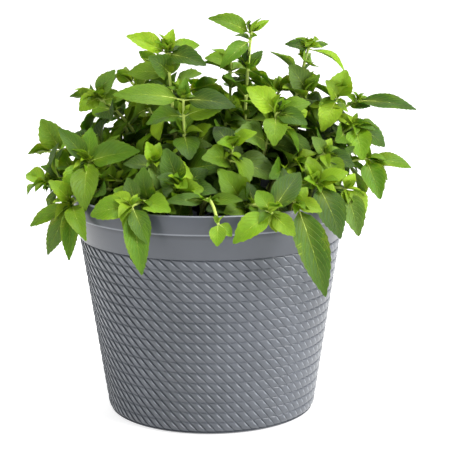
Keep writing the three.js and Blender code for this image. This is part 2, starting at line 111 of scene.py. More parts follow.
class Wire:
    def __init__(self, finish, socket):
        self.finish = finish
        self.socket = socket

    def math(self, operation, *values):
        return self.finish.add("ShaderNodeMath", {"operation": operation}, dict(enumerate(values)))

    def __add__(self, other):
        return self.math("ADD", self, other)

    __radd__ = __add__

    def __mul__(self, other):
        return self.math("MULTIPLY", self, other)

    def __sub__(self, other):
        return self.math("SUBTRACT", self, other)

    def __rsub__(self, other):
        return self.math("SUBTRACT", other, self)

    def __truediv__(self, other):
        return self.math("DIVIDE", self, other)

    def __abs__(self):
        return self.math("ABSOLUTE", self)

    def fraction(self):
        return self.math("FRACT", self)

    def between(self, low, high):
        """A smooth step from 0 at low to 1 at high."""
        return self.finish.add(
            "ShaderNodeMapRange", {"interpolation_type": "SMOOTHSTEP"},
            {"Value": self, "From Min": low, "From Max": high, "To Min": 0.0, "To Max": 1.0})

    def within(self, low, high, soft):
        """1 from low to high and 0 outside, with soft ends."""
        return self.between(low, low + soft) * (1 - self.between(high - soft, high))


class Finish:
    def __init__(self, name, **constants):
        self.material = bpy.data.materials.new(name)
        self.material.use_nodes = True
        self.nodes = self.material.node_tree.nodes
        self.shader = self.nodes["Principled BSDF"]
        for socket, value in constants.items():
            self.shader.inputs[socket.replace("_", " ")].default_value = value

    def put(self, socket, value):
        if isinstance(value, Wire):
            self.material.node_tree.links.new(value.socket, socket)
        else:
            socket.default_value = value

    def add(self, kind, settings=None, sockets=None, output=0):
        node = self.nodes.new(kind)
        for key, value in (settings or {}).items():
            setattr(node, key, value)
        for key, value in (sockets or {}).items():
            self.put(node.inputs[key], value)
        return Wire(self, node.outputs[output])

    def place(self):
        return self.add("ShaderNodeTexCoord", output="Object")

    def stretched(self, place, scale):
        return self.add("ShaderNodeMapping", {}, {"Vector": place, "Scale": scale})

    def parts(self, vector):
        node = self.add("ShaderNodeSeparateXYZ", {}, {0: vector}).socket.node
        return [Wire(self, socket) for socket in node.outputs]

    def attribute(self, name, output="Color"):
        return self.add("ShaderNodeAttribute", {"attribute_name": name}, output=output)

    def grain(self, place, scale, detail=3.0, roughness=0.5):
        return self.add("ShaderNodeTexNoise", {},
                        {"Vector": place, "Scale": scale, "Detail": detail, "Roughness": roughness})

    def blend(self, share, first, second, way="MIX"):
        settings = {"data_type": "RGBA", "blend_type": way}
        return self.add("ShaderNodeMix", settings, {0: share, 6: first, 7: second}, output=2)

    def bump(self, height, distance, strength=1.0):
        return self.add("ShaderNodeBump", {},
                        {"Height": height, "Distance": distance, "Strength": strength})

    def wear(self, **links):
        for socket, value in links.items():
            self.put(self.shader.inputs[socket.replace("_", " ")], value)
        return self.material


def colour(red, green, blue):
    """A display colour, 0 to 255, as the linear colour that a shader takes."""
    def linear(part):
        part /= 255
        return part / 12.92 if part <= 0.04045 else ((part + 0.055) / 1.055) ** 2.4
    return (linear(red), linear(green), linear(blue), 1.0)


# %% [markdown]
# ## The camera
# The plant is seen from a little above, from far enough away that its upright lines hardly lean.
# The camera is aimed with angles, in radians: down, to the right and a slight roll. Its long lens
# keeps the whole plant in the square picture.

# %% Camera
CAMERA_PLACE = Vector((0.0, -1.722, 0.551))
CAMERA_DOWN = 0.1986
CAMERA_RIGHT = 0.0094
CAMERA_ROLL = 0.0068
LENS = 127.4
SENSOR = 36

bpy.ops.object.camera_add(location=CAMERA_PLACE)
camera = bpy.context.object
camera.name = "camera"
camera.data.lens = LENS
camera.data.sensor_width = SENSOR
turn = Matrix.Rotation(-CAMERA_RIGHT, 4, "Z") @ Matrix.Rotation(math.pi / 2 - CAMERA_DOWN, 4, "X")
camera.matrix_world = (Matrix.Translation(CAMERA_PLACE) @ turn
                       @ Matrix.Rotation(-CAMERA_ROLL, 4, "Z"))
bpy.context.scene.camera = camera
print("camera looks along", tuple(round(v, 3) for v in camera.matrix_world.col[2][:3]))

# %% [markdown]
# ## Floor and light
# The sun stands high at the front right and is broad and soft. It gives the leaves their bright
# faces and throws the shade under the rim. A panel on that side gives the planter its upright
# highlight, a weak one at the left fills the shade, and one behind lights the leaves' edges. The
# floor glows a little, and the sky looks brighter than it shines, so both are seen as white.

# %% Floor
FLOOR_SIZE = 40.0
FLOOR_GLOW = 0.75

nothing_selected()
bpy.ops.mesh.primitive_plane_add(size=FLOOR_SIZE)
floor = named(bpy.context.object, "floor")
paper = Finish("pale_floor", Roughness=0.9, Emission_Color=(1, 1, 1, 1),
               Emission_Strength=FLOOR_GLOW)
mottle = paper.grain(paper.place(), 3.0)
floor.data.materials.append(paper.wear(
    Base_Color=paper.blend(mottle, (0.47, 0.47, 0.47, 1), (0.5, 0.5, 0.5, 1))))

# %% Lights
AIM = Vector((0, 0, 0.24))
SUN_PLACE = Vector((0.7, -0.45, 2.4))
SUN_ENERGY = 3.6
SUN_ANGLE = math.radians(28)
PANELS = {
    # name: (place, size, power in watts)
    "panel": ((2.0, -1.1, 0.9), 1.5, 56),
    "fill": ((-2.0, -1.3, 0.9), 1.5, 12),
    "back": ((-0.6, 2.0, 2.4), 1.8, 26),
}


def aimed(lamp, name, place):
    lamp.name = name + "_light"
    lamp.rotation_euler = (AIM - Vector(place)).to_track_quat("-Z", "Y").to_euler()


bpy.ops.object.light_add(type="SUN", location=SUN_PLACE)
sun = bpy.context.object
sun.data.energy = SUN_ENERGY
sun.data.angle = SUN_ANGLE
aimed(sun, "sun", SUN_PLACE)
for name, (place, size, power) in PANELS.items():
    bpy.ops.object.light_add(type="AREA", location=place)
    lamp = bpy.context.object
    lamp.data.shape = "DISK"
    lamp.data.size = size
    lamp.data.energy = power
    aimed(lamp, name, place)

SKY_LIGHT = 0.42  # how strongly the sky lights the plant
SKY_SEEN = 1.1  # how bright the sky itself looks

world = bpy.data.worlds.new("pale_sky")
world.use_nodes = True
sky = world.node_tree
sky.nodes["Background"].inputs["Color"].default_value = (1, 1, 1, 1)
ray = sky.nodes.new("ShaderNodeLightPath")
strength = sky.nodes.new("ShaderNodeMapRange")
strength.inputs["To Min"].default_value = SKY_LIGHT
strength.inputs["To Max"].default_value = SKY_SEEN
sky.links.new(ray.outputs["Is Camera Ray"], strength.inputs["Value"])
sky.links.new(strength.outputs["Result"], sky.nodes["Background"].inputs["Strength"])
bpy.context.scene.world = world
bpy.context.scene.view_settings.view_transform = "Standard"
print("lights: a sun and", len(PANELS), "panels")

# %% [markdown]
# ## The planter's plain parts
# A moulded planter is round, so its rim, neck, inside and foot are one outline turned about the
# upright axis. The outline starts as a single point, which is extruded corner by corner, and the
# spin operator turns it. The outer wall is left open here, where the weave will go. The sizes
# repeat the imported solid's.

# %% Sizes of the planter
MM = 0.001
RIM_RADIUS = 151.3 * MM
RIM_TOP = 243.5 * MM
BAND_BOTTOM = 223 * MM
RIM_INSIDE = 146.8 * MM
NECK_RADIUS = 147.6 * MM
WEAVE_TOP_RADIUS = 143 * MM
WEAVE_TOP = 195.5 * MM
WEAVE_BOTTOM = 3.5 * MM
BASE_RADIUS = 113.6 * MM
BASE_ROUND = 8 * MM
WALL = 3 * MM
FLOOR_TOP = 4 * MM
RELIEF = 1.8 * MM  # how far the weave stands out from its grooves
GROOVE_DEPTH = 1.3 * MM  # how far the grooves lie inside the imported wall
TILES_ROUND = 74
ROWS = 17
SPIN_STEPS = 2 * TILES_ROUND
MERGE = 2e-5  # corners nearer than this become one

low_corner, high_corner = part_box("planter")
print("planter in the frame, mm:", [round(v * 1000, 1) for v in (high_corner - low_corner)])


def wall_radius(height):
    """The outside of the woven wall at a height, which rounds in at the foot."""
    radius = BASE_RADIUS + (WEAVE_TOP_RADIUS - BASE_RADIUS) * height / WEAVE_TOP
    if height < BASE_ROUND:
        radius -= BASE_ROUND - math.sqrt(BASE_ROUND ** 2 - (BASE_ROUND - height) ** 2)
    return radius


def arc(centre, radius, start, end, steps):
    """Points of an arc in the outline, from one angle to another in degrees."""
    angles = [math.radians(start + (end - start) * i / steps) for i in range(steps + 1)]
    return [(centre[0] + radius * math.cos(a), centre[1] + radius * math.sin(a)) for a in angles]


# %% An outline, extruded point by point and spun


def outline(name, points):
    """A line through points (distance from the axis, height), as a new object."""
    nothing_selected()
    bpy.ops.mesh.primitive_plane_add(size=0.001)
    piece = named(bpy.context.object, name)
    bpy.ops.object.mode_set(mode="EDIT")
    bpy.ops.mesh.merge(type="CENTER")
    corners = [Vector((across, 0, height)) for across, height in points]
    bpy.ops.transform.translate(value=corners[0])
    for here, there in zip(corners, corners[1:]):
        bpy.ops.mesh.extrude_vertices_move(TRANSFORM_OT_translate={"value": there - here})
    bpy.ops.object.mode_set(mode="OBJECT")
    return piece


def spin(piece, steps):
    bpy.context.view_layer.objects.active = piece
    bpy.ops.object.mode_set(mode="EDIT")
    bpy.ops.mesh.select_all(action="SELECT")
    bpy.ops.mesh.spin(steps=steps, angle=2 * math.pi, center=(0, 0, 0), axis=(0, 0, 1))
    bpy.ops.mesh.select_all(action="SELECT")
    bpy.ops.mesh.remove_doubles(threshold=MERGE)
    bpy.ops.object.mode_set(mode="OBJECT")


def joined(first, *others):
    nothing_selected()
    for piece in (first, *others):
        piece.select_set(True)
    bpy.context.view_layer.objects.active = first
    bpy.ops.object.join()
    return first


# %% [markdown]
# The upper outline runs from the middle of the floor, up the inside, over the rounded rim and down
# the plain neck to a small ledge above the weave. The lower one is the foot. Where the rim band
# ends there is a sharp step under a rounded edge, which throws the band's dark line; painted
# shade in the plastic deepens that line.

# %% Rim, neck, inside and foot
INSIDE_FLOOR = wall_radius(FLOOR_TOP) - WALL - 1 * MM
LIP = 1.5 * MM

upper = outline("planter_upper", [
    (0, FLOOR_TOP),
    (INSIDE_FLOOR, FLOOR_TOP),
    (WEAVE_TOP_RADIUS - WALL, WEAVE_TOP),
    (NECK_RADIUS - WALL, BAND_BOTTOM),
    *arc((RIM_INSIDE + LIP, RIM_TOP - LIP), LIP, 180, 90, 3),
    *arc((RIM_RADIUS - LIP, RIM_TOP - LIP), LIP, 90, 0, 3),
    (RIM_RADIUS - 0.2 * MM, BAND_BOTTOM + 6 * MM),
    *arc((RIM_RADIUS - 1.2 * MM, BAND_BOTTOM + 1.0 * MM), 1 * MM, 0, -90, 3),
    (NECK_RADIUS + 0.2 * MM, BAND_BOTTOM),
    (NECK_RADIUS - 0.3 * MM, BAND_BOTTOM - 1.2 * MM),
    (WEAVE_TOP_RADIUS + 0.5 * MM, WEAVE_TOP + 1.6 * MM),
    (WEAVE_TOP_RADIUS - 0.1 * MM, WEAVE_TOP + 0.7 * MM),
    (WEAVE_TOP_RADIUS - GROOVE_DEPTH, WEAVE_TOP + 0.4 * MM),
])
spin(upper, SPIN_STEPS)

foot_centre = (wall_radius(BASE_ROUND) - BASE_ROUND, BASE_ROUND)
lower = outline("planter_lower", [
    (0, 0),
    (foot_centre[0] - 12 * MM, 0),
    *arc(foot_centre, BASE_ROUND, -90, -42, 4),
])
spin(lower, SPIN_STEPS)
print("plain parts:", len(upper.data.polygons) + len(lower.data.polygons), "faces")

# %% [markdown]
# ## The woven wall
# Slanting grooves run down the wall from left to right, one tile across for each row down, and
# level grooves part the rows. Each tile rises from left to right to a rounded crest and drops
# into the next groove. One slanting ribbon of tiles, top to bottom, holds the whole pattern: a
# grid is laid along the grooves, so its edges follow them exactly. Moving each corner of a
# grid by a rule is done in code, since no single operator gives this relief. The spin operator
# then sets copies of the ribbon side by side all round.

# %% One ribbon of the weave
# Stops across a tile and down a row, with the height of the relief at each, from 0 to 1.
ACROSS = [(0, 0), (0.05, 0.2), (0.14, 0.4), (0.28, 0.6), (0.45, 0.77), (0.62, 0.88), (0.78, 0.95),
          (0.9, 1), (0.965, 0.72), (1, 0)]
DOWN = [(0, 0.25), (0.07, 0.78), (0.17, 0.97), (0.42, 1), (0.7, 0.92), (0.9, 0.66)]

nothing_selected()
bpy.ops.mesh.primitive_grid_add(
    x_subdivisions=len(ACROSS) - 1, y_subdivisions=ROWS * len(DOWN), size=1, location=(0.5, 0.5, 0))
bpy.ops.object.transform_apply(location=True)
weave = named(bpy.context.object, "weave")

relief = weave.data.attributes.new("relief", "FLOAT", "POINT")
for vertex in weave.data.vertices:
    across, high = ACROSS[round(vertex.co.x * (len(ACROSS) - 1))]
    step = round(vertex.co.y * ROWS * len(DOWN))
    part, low = DOWN[step % len(DOWN)]
    row = step // len(DOWN) + part
    height = WEAVE_TOP + (WEAVE_BOTTOM - WEAVE_TOP) * row / ROWS
    stands = high * low
    radius = wall_radius(height) - GROOVE_DEPTH + RELIEF * stands
    angle = 2 * math.pi * (across + row) / TILES_ROUND
    vertex.co = (radius * math.cos(angle), radius * math.sin(angle), height)
    relief.data[vertex.index].value = stands
print("one ribbon:", len(weave.data.polygons), "faces")

# %% All ribbons, bridged to the plain parts
bpy.ops.object.mode_set(mode="EDIT")
bpy.ops.mesh.select_all(action="SELECT")
bpy.ops.mesh.spin(steps=TILES_ROUND - 1, angle=2 * math.pi * (TILES_ROUND - 1) / TILES_ROUND,
                  center=(0, 0, 0), axis=(0, 0, 1), dupli=True)
bpy.ops.mesh.select_all(action="SELECT")
bpy.ops.mesh.remove_doubles(threshold=MERGE)
bpy.ops.object.mode_set(mode="OBJECT")
planter = named(joined(weave, upper, lower), "planter_shell")


def bridge(piece, chosen):
    """Joins the two open edges whose places are chosen."""
    nothing_selected()
    piece.select_set(True)
    bpy.context.view_layer.objects.active = piece
    bpy.ops.object.mode_set(mode="EDIT")
    bpy.ops.mesh.select_mode(type="EDGE")
    bpy.ops.mesh.select_all(action="DESELECT")
    bpy.ops.mesh.select_non_manifold(
        extend=False, use_wire=False, use_boundary=True, use_multi_face=False,
        use_non_contiguous=False, use_verts=False)
    bpy.ops.object.mode_set(mode="OBJECT")
    places = piece.data.vertices
    for edge in piece.data.edges:
        edge.select = edge.select and chosen(places[edge.vertices[0]].co)
    bpy.ops.object.mode_set(mode="EDIT")
    bpy.ops.mesh.bridge_edge_loops()
    bpy.ops.object.mode_set(mode="OBJECT")


bridge(planter, lambda place: place.z > WEAVE_TOP / 2)
bridge(planter, lambda place: place.z < WEAVE_TOP / 2)
bpy.ops.object.mode_set(mode="EDIT")
bpy.ops.mesh.select_all(action="SELECT")
bpy.ops.mesh.normals_make_consistent(inside=False)
bpy.ops.object.mode_set(mode="OBJECT")
bpy.ops.object.shade_smooth_by_angle(angle=math.radians(48))

# %% [markdown]
# ## The planter's plastic
# The plastic is a satin mid grey with a slight blue cast. Moulded plastic is never quite even:
# it has a very fine grain and soft clouds of tone. The grooves are darker, partly from dust and
# partly from painted shade; a strip under the rim band is darkened with painted shade; and the
# crests and edges are paler, partly from wear and partly from painted highlight. The relief
# attribute that the weave carries says which parts of a tile are crest and which are groove. The
# plain parts are tinted darker: that stands in for shade from the foliage, so it belongs to this
# light and not to the plastic itself.

# %% Plastic
# A dark colour for dust and painted shade, and a pale one for wear and painted highlight.
DUST_AND_SHADE_COLOUR = colour(44, 47, 53)
WEAR_AND_HIGHLIGHT_COLOUR = colour(158, 163, 170)
PLAIN_DARKER = 0.35  # how far the plain parts go towards the grooves' colour, 0 for not at all

plastic = Finish("satin_grey_plastic", IOR=1.5)
place = plastic.place()
height = plastic.parts(place)[2]
stands = plastic.attribute("relief", "Fac")
clouds = plastic.grain(place, 9.0, 4.0, 0.6)
specks = plastic.grain(place, 900.0, 2.0, 0.6)
scuffs = plastic.grain(plastic.stretched(place, (1.0, 1.0, 6.0)), 60.0, 5.0, 0.65)
scuffs = scuffs.between(0.58, 0.72)
in_weave = height.within(WEAVE_BOTTOM, WEAVE_TOP, 1 * MM)
# Painted shade: a darker strip on the neck just under the rim band.
painted_shade_under_band = height.within(BAND_BOTTOM - 6 * MM, BAND_BOTTOM + 0.3 * MM, 0.6 * MM)
painted_shade_under_band = painted_shade_under_band * height.between(BAND_BOTTOM - 6 * MM, BAND_BOTTOM - 1 * MM)
# Paler strips along the band's lower edge and the rim's top: partly wear, partly painted highlight
# on the rounded edges.
edges = height.within(BAND_BOTTOM - 0.2 * MM, BAND_BOTTOM + 2.2 * MM, 0.9 * MM)
edges = edges + height.between(RIM_TOP - 1.4 * MM, RIM_TOP - 0.4 * MM)
tone = plastic.blend(clouds.between(0.3, 0.7), colour(72, 76, 82), colour(84, 88, 95))
# Paler tile crests: partly wear, partly painted highlight.
tone = plastic.blend(stands.between(0.9, 0.99) * 0.6, tone, WEAR_AND_HIGHLIGHT_COLOUR)
# Darker grooves: partly dust, partly painted shade.
tone = plastic.blend((1 - stands.between(0.0, 0.3)) * in_weave * 0.1, tone, DUST_AND_SHADE_COLOUR)
tone = plastic.blend((1 - in_weave) * PLAIN_DARKER, tone, DUST_AND_SHADE_COLOUR)
# Painted shade under the rim band.
tone = plastic.blend(painted_shade_under_band * 0.6, tone, DUST_AND_SHADE_COLOUR)
# Painted highlight and wear along the band's lower edge and the rim's top.
tone = plastic.blend(edges * 0.45, tone, WEAR_AND_HIGHLIGHT_COLOUR)
planter.data.materials.clear()
planter.data.materials.append(plastic.wear(
    Base_Color=tone,
    Roughness=0.26 + clouds * 0.08 + scuffs * 0.1,
    Normal=plastic.bump(specks * 0.6 + scuffs * 0.4, 0.00012, 0.5)))
finished(planter, "pot_plastic", "planter")

# %% [markdown]
# ## The soil
# Potting soil is dark, moist and crumbly, with a few white grains of perlite. Its surface is one
# body turned from an outline and roughened with noise. The loose crumbs on it are a few shapes
# made once and copied. Small pieces like these only need twenty faces each.

# %% The body of the soil
SOIL_TOP = 216 * MM
NECK_FLARE = 2.4 * MM  # how far the neck stands out from the woven wall's cone
SOIL_GAP = 3 * MM
SOIL_RINGS = 30
SOIL_SPIN = 96
soil_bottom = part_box("soil")[0].z
soil_edge = wall_radius(SOIL_TOP) + NECK_FLARE - WALL - SOIL_GAP

rings = [(soil_edge * i / SOIL_RINGS, SOIL_TOP - 1 * MM) for i in range(SOIL_RINGS, 0, -1)]
soil = outline("soil_body", [
    (0, soil_bottom),
    (INSIDE_FLOOR - 1 * MM, soil_bottom),
    (WEAVE_TOP_RADIUS - WALL - 1 * MM, WEAVE_TOP),
    (soil_edge + 1.5 * MM, SOIL_TOP - 7 * MM),
    *rings,
    (0, SOIL_TOP - 1 * MM),
])
spin(soil, SOIL_SPIN)
for vertex in soil.data.vertices:
    if vertex.co.z > SOIL_TOP - 8 * MM:
        lumps = noise.fractal(vertex.co * 60, 1.0, 2.0, 3)
        crumbs = noise.fractal(vertex.co * 240, 1.0, 2.0, 2)
        rim = max(0.0, Vector(vertex.co.xy).length - 0.9 * soil_edge) * 0.4
        vertex.co.z += 1.4 * MM * lumps + 0.8 * MM * crumbs - rim

# %% Crumbs and perlite


def crumb(name, radius, squash, seed):
    """A small lump: a ball with its corners pushed about."""
    nothing_selected()
    bpy.ops.mesh.primitive_ico_sphere_add(subdivisions=1, radius=radius)
    piece = named(bpy.context.object, name)
    bpy.ops.object.mode_set(mode="EDIT")
    bpy.ops.transform.resize(value=squash)
    bpy.ops.transform.vertex_random(offset=radius * 0.35, seed=seed)
    bpy.ops.object.mode_set(mode="OBJECT")
    return piece


def corners_and_faces(piece):
    corners = np.array([vertex.co for vertex in piece.data.vertices])
    return corners, [tuple(face.vertices) for face in piece.data.polygons]


def scattered(name, shapes, count, largest, seed):
    """One object of many copies of the shapes, turned every way and laid on the soil."""
    rng = random.Random(seed)
    corners, faces = [], []
    total = 0
    for _ in range(count):
        shape, shape_faces = rng.choice(shapes)
        away = soil_edge * 0.97 * math.sqrt(rng.random())
        angle = rng.uniform(0, 2 * math.pi)
        turn = Matrix.Rotation(rng.uniform(0, 6.28), 3, (rng.uniform(-1, 1), rng.uniform(-1, 1), 1))
        size = rng.uniform(0.35, 1) * largest
        centre = (away * math.cos(angle), away * math.sin(angle),
                  SOIL_TOP - rng.uniform(0.2, 1.2) * MM)
        corners.append(shape @ np.array(turn).T * size + np.array(centre))
        faces += [tuple(corner + total for corner in face) for face in shape_faces]
        total += len(shape)
    mesh = bpy.data.meshes.new(name)
    mesh.from_pydata(np.vstack(corners).tolist(), [], faces)
    piece = bpy.data.objects.new(name, mesh)
    bpy.context.scene.collection.objects.link(piece)
    return piece


lumps = [crumb("lump_1", 1, (1, 0.8, 0.7), 1), crumb("lump_2", 1, (1.3, 0.6, 0.5), 2),
         crumb("lump_3", 1, (0.8, 0.8, 0.9), 3)]
shapes = [corners_and_faces(piece) for piece in lumps]
crumbs = scattered("soil_crumbs", shapes, 900, 3.4 * MM, 5)
perlite = scattered("perlite_grains", shapes, 90, 2.0 * MM, 8)
chips = scattered("bark_chips", [shapes[1]], 60, 6.0 * MM, 9)
for piece in lumps:
    bpy.data.objects.remove(piece)
soil = named(joined(soil, crumbs, chips), "potting_soil")
bpy.ops.object.shade_smooth_by_angle(angle=math.radians(30))

# %% Soil materials
earth = Finish("moist_soil", Roughness=0.95)
place = earth.place()
clods = earth.grain(place, 70.0, 5.0, 0.65)
fibres = earth.grain(earth.stretched(place, (1.0, 0.25, 1.0)), 700.0, 3.0, 0.6)
dark = earth.blend(clods.between(0.3, 0.7), colour(26, 20, 15), colour(58, 44, 32))
flecked = earth.blend(fibres.between(0.6, 0.78) * 0.6, dark, colour(104, 80, 54))
soil.data.materials.append(earth.wear(
    Base_Color=flecked,
    Roughness=0.82 + clods * 0.18,
    Normal=earth.bump(clods * 0.7 + fibres * 0.3, 0.002, 0.8)))
finished(soil, "soil", "soil")

glassy = Finish("white_perlite", Roughness=0.9)
place = glassy.place()
pits = glassy.grain(place, 900.0, 3.0, 0.6)
perlite.data.materials.append(glassy.wear(
    Base_Color=glassy.blend(pits.between(0.35, 0.65), colour(176, 170, 158), colour(222, 219, 210)),
    Normal=glassy.bump(pits, 0.0006, 0.8)))
finished(perlite, "soil", "soil")

# %% [markdown]
# ## Where the leaves are
# Each packed shoot is one solid with a thin, plain kite for every leaf. A kite's tip is easy to
# find: just three edges meet there, two of them sharp side edges and one the keel under the
# blade. From the tip and its three neighbours follow the leaf's direction, length, width, bow and
# root, so every leaf drawn here sits exactly where its solid is.

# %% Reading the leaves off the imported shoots
BROADER = 1.12  # a rounded blade is this much wider than its kite
# A kite's last section: part of the length, part of the width. A long kite has two sections.
SHORT_SECTION = (0.5, 1.0)
LONG_SECTION = (0.73, 0.7)
SHARP = math.radians(140)


class Leaf:
    """A leaf's place: its root, the way to its tip, its side and face directions and its sizes."""

    def __init__(self, tip, left, right, keel, section):
        middle = (left + right) / 2
        self.face = (middle - keel).normalized()
        rise = (tip - middle).dot(self.face)
        forward = (tip - middle) - self.face * rise
        part, share = section
        self.length = forward.length / (1 - part)
        self.along = forward.normalized()
        self.side = self.along.cross(self.face)
        self.width = (left - right).length / 2 / share * BROADER
        self.bow = -rise / (4 * part * (1 - part))
        self.root = tip - self.along * self.length


def leaves_of(node):
    mesh = bmesh.new()
    mesh.from_mesh(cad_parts[node].data)
    bmesh.ops.remove_doubles(mesh, verts=mesh.verts, dist=1e-5)
    sharp = {edge for edge in mesh.edges
             if len(edge.link_faces) == 2 and edge.calc_face_angle(0) > SHARP}
    found = []
    for vertex in mesh.verts:
        edges = list(vertex.link_edges)
        sides = [edge for edge in edges if edge in sharp]
        if len(edges) != 3 or len(sides) != 2:
            continue
        keel = next(edge for edge in edges if edge not in sharp)
        left, right = (edge.other_vert(vertex) for edge in sides)
        goes_on = max(sum(edge in sharp for edge in corner.link_edges) for corner in (left, right))
        section = LONG_SECTION if goes_on > 1 else SHORT_SECTION
        found.append(Leaf(vertex.co.copy(), left.co.copy(), right.co.copy(),
                          keel.other_vert(vertex).co.copy(), section))
    mesh.free()
    return found


LEAVES = {node: leaves_of(node) for node in SHOOT_NODES}
lengths = sorted(leaf.length for leaves in LEAVES.values() for leaf in leaves)
print("leaves found:", len(lengths), "from", round(lengths[0] * 1000), "to",
      round(lengths[-1] * 1000), "mm")

# %% [markdown]
# ## The stems' lines
# Every shoot rises from the soil on a curve with three control points: its foot, its end and one
# between, given as parts of the way across and up. The first shoots are placed one by one, as in
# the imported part, and the rest stand in rings with a little scatter. The scatter comes from the
# same small random generator as the part's, so the stems run where the solids are.

# %% Stem table, mm: foot, end, and how far across and up the middle control point is
PLACED_STEMS = [
    ((34, 5), (46, 0, 417), (0.3, 0.6)),
    ((78, 22), (109, 10, 400), (0.3, 0.6)),
    ((-34, 12), (-45, -20, 398), (0.3, 0.6)),
    ((-27, -38), (-27, -58, 352), (0.2, 0.6)),
    ((22, 48), (24, 22, 384), (0.2, 0.6)),
    ((48, -28), (72, -50, 336), (0.25, 0.65)),
    ((84, 30), (107, 2, 352), (0.25, 0.65)),
    ((100, 26), (140, 0, 344), (0.2, 0.7)),
    ((92, 54), (163, 14, 340), (0.2, 0.75)),
    ((106, 2), (159, -4, 315), (0.2, 0.8)),
    ((98, -24), (171, -12, 279), (0.25, 1)),
    ((84, -38), (122, -58, 292), (0.2, 0.8)),
    ((64, -62), (112, -92, 266), (0.25, 0.9)),
    ((46, -78), (88, -136, 254), (0.3, 1.25)),
    ((90, -54), (143, -82, 258), (0.25, 1.2)),
    ((22, -84), (62, -156, 247), (0.35, 1.5)),
    ((-12, -72), (8, -165, 238), (0.45, 3)),
    ((-50, -58), (-58, -90, 290), (0.2, 0.8)),
    ((-24, -68), (-33, -102, 258), (0.3, 1)),
    ((-62, -12), (-131, -42, 283), (0.25, 0.9)),
    ((-74, -36), (-148, -62, 240), (0.3, 2.6)),
    ((-44, -74), (-80, -138, 252), (0.3, 1.25)),
    ((-56, 34), (-123, 12, 346), (0.2, 0.75)),
    ((-84, 14), (-164, -6, 262), (0.3, 1.2)),
]
# Rings: count, first and last direction in degrees, foot and end distance, height, control point.
STEM_RINGS = [
    (8, 30, 188, 96, 176, 268, (0.3, 1.15)),
    (8, 4, 186, 72, 134, 318, (0.2, 0.85)),
    (5, 20, 168, 40, 76, 358, (0.2, 0.7)),
    (4, 196, 336, 46, 84, 304, (0.2, 0.7)),
    (4, 210, 330, 62, 112, 262, (0.2, 0.9)),
    (4, 25, 335, 12, 30, 318, (0.2, 0.6)),
]
RING_SEED = 11


def repeatable_numbers(seed):
    """The well-known mulberry32 generator, numbers from 0 to 1."""
    mask = 0xFFFFFFFF
    state = seed
    while True:
        state = (state + 0x6D2B79F5) & mask
        mixed = ((state ^ (state >> 15)) * (1 | state)) & mask
        mixed = ((mixed + (((mixed ^ (mixed >> 7)) * (61 | mixed)) & mask)) & mask) ^ mixed
        yield ((mixed ^ (mixed >> 14)) & mask) / (mask + 1)


def all_stems():
    numbers = repeatable_numbers(RING_SEED)

    def scatter(amount):
        return (next(numbers) * 2 - 1) * amount

    stems = list(PLACED_STEMS)
    for count, first, last, foot, reach, height, bend in STEM_RINGS:
        for i in range(count):
            angle = math.radians(first + (last - first) * i / (count - 1))
            near, far, top = foot + scatter(5), reach + scatter(14), height + scatter(22)
            turned = angle + scatter(0.06)
            stems.append(((near * math.cos(angle), near * math.sin(angle)),
                          (far * math.cos(turned), far * math.sin(turned), top), bend))
    return stems


class Stem:
    def __init__(self, foot, end, bend):
        self.foot = Vector((foot[0], foot[1], SOIL_TOP / MM + 0.3)) * MM
        self.end = Vector(end) * MM
        across, up = bend
        self.middle = self.foot.lerp(self.end, across)
        self.middle.z = self.foot.z + (self.end.z - self.foot.z) * up

    def at(self, part):
        return self.foot.lerp(self.middle, part).lerp(self.middle.lerp(self.end, part), part)

    def way(self, part):
        return (self.middle - self.foot).lerp(self.end - self.middle, part).normalized()

    def nearest(self, place):
        """The part of the stem nearest to a place."""
        return min((i / 200 for i in range(201)), key=lambda part: (self.at(part) - place).length)


STEMS = dict(zip(SHOOT_NODES, (Stem(*row) for row in all_stems())))
misses = [(STEMS[node].at(STEMS[node].nearest(leaf.root)) - leaf.root).length
          for node, leaves in LEAVES.items() for leaf in leaves]
print("stems:", len(STEMS), "- leaf roots lie within", round(max(misses) * 1000, 2), "mm of them")

# %% [markdown]
# ## The blades
# A mint leaf is oval with a drawn-out point and a toothed edge. A blade is made once in each of
# three finenesses and copied to every leaf. It starts as a grid, and each row is resized to the
# leaf's outline. Every other corner of the edge is pushed out and forward to make a tooth. A
# second, coarser grid becomes the underside: the two share their edge, so the blade is a closed
# body, thin as paper at the rim. The most repeated blades have only a few dozen faces.

# %% One blade
# The outline of a leaf: part of the length, half-width.
OUTLINE = [(0, 0.07), (0.04, 0.36), (0.1, 0.64), (0.2, 0.89), (0.3, 0.99), (0.4, 1.0),
           (0.5, 0.96), (0.6, 0.87), (0.7, 0.72), (0.8, 0.52), (0.88, 0.33), (0.94, 0.17),
           (1, 0.012)]
THIN = 0.02  # thickness of a blade, as a part of its half-width
TOOTH = 0.045  # how far a tooth stands out, as a part of the half-width
TOOTH_FORWARD = 0.4  # how far it leans to the tip, as a part of a row


def half_width(part):
    for (low, first), (high, second) in zip(OUTLINE, OUTLINE[1:]):
        if part <= high:
            return first + (second - first) * (part - low) / (high - low)
    return OUTLINE[-1][1]


def sheet(name, rows, columns, tooth):
    """A flat leaf outline, columns wide on each side of the midrib, from 0 to 1 along Y."""
    nothing_selected()
    bpy.ops.mesh.primitive_grid_add(
        x_subdivisions=2 * columns, y_subdivisions=rows, size=1, location=(0, 0.5, 0))
    bpy.ops.object.transform_apply(location=True)
    piece = named(bpy.context.object, name)
    for row in range(rows + 1):
        part = row / rows
        select_where(piece, lambda place: abs(place.y - part) < 0.2 / rows)
        bpy.ops.transform.resize(value=(2 * half_width(part), 1, 1))
    pointed = [row / rows for row in range(1, rows, 2)]
    for part in pointed if tooth else []:
        width = half_width(part)
        select_where(piece, lambda place: abs(place.y - part) < 0.2 / rows
                     and abs(place.x) > 0.98 * width)
        bpy.ops.transform.resize(value=(1 + tooth, 1, 1))
        bpy.ops.transform.translate(value=(0, TOOTH_FORWARD / rows, 0))
    bpy.ops.object.mode_set(mode="OBJECT")
    return piece


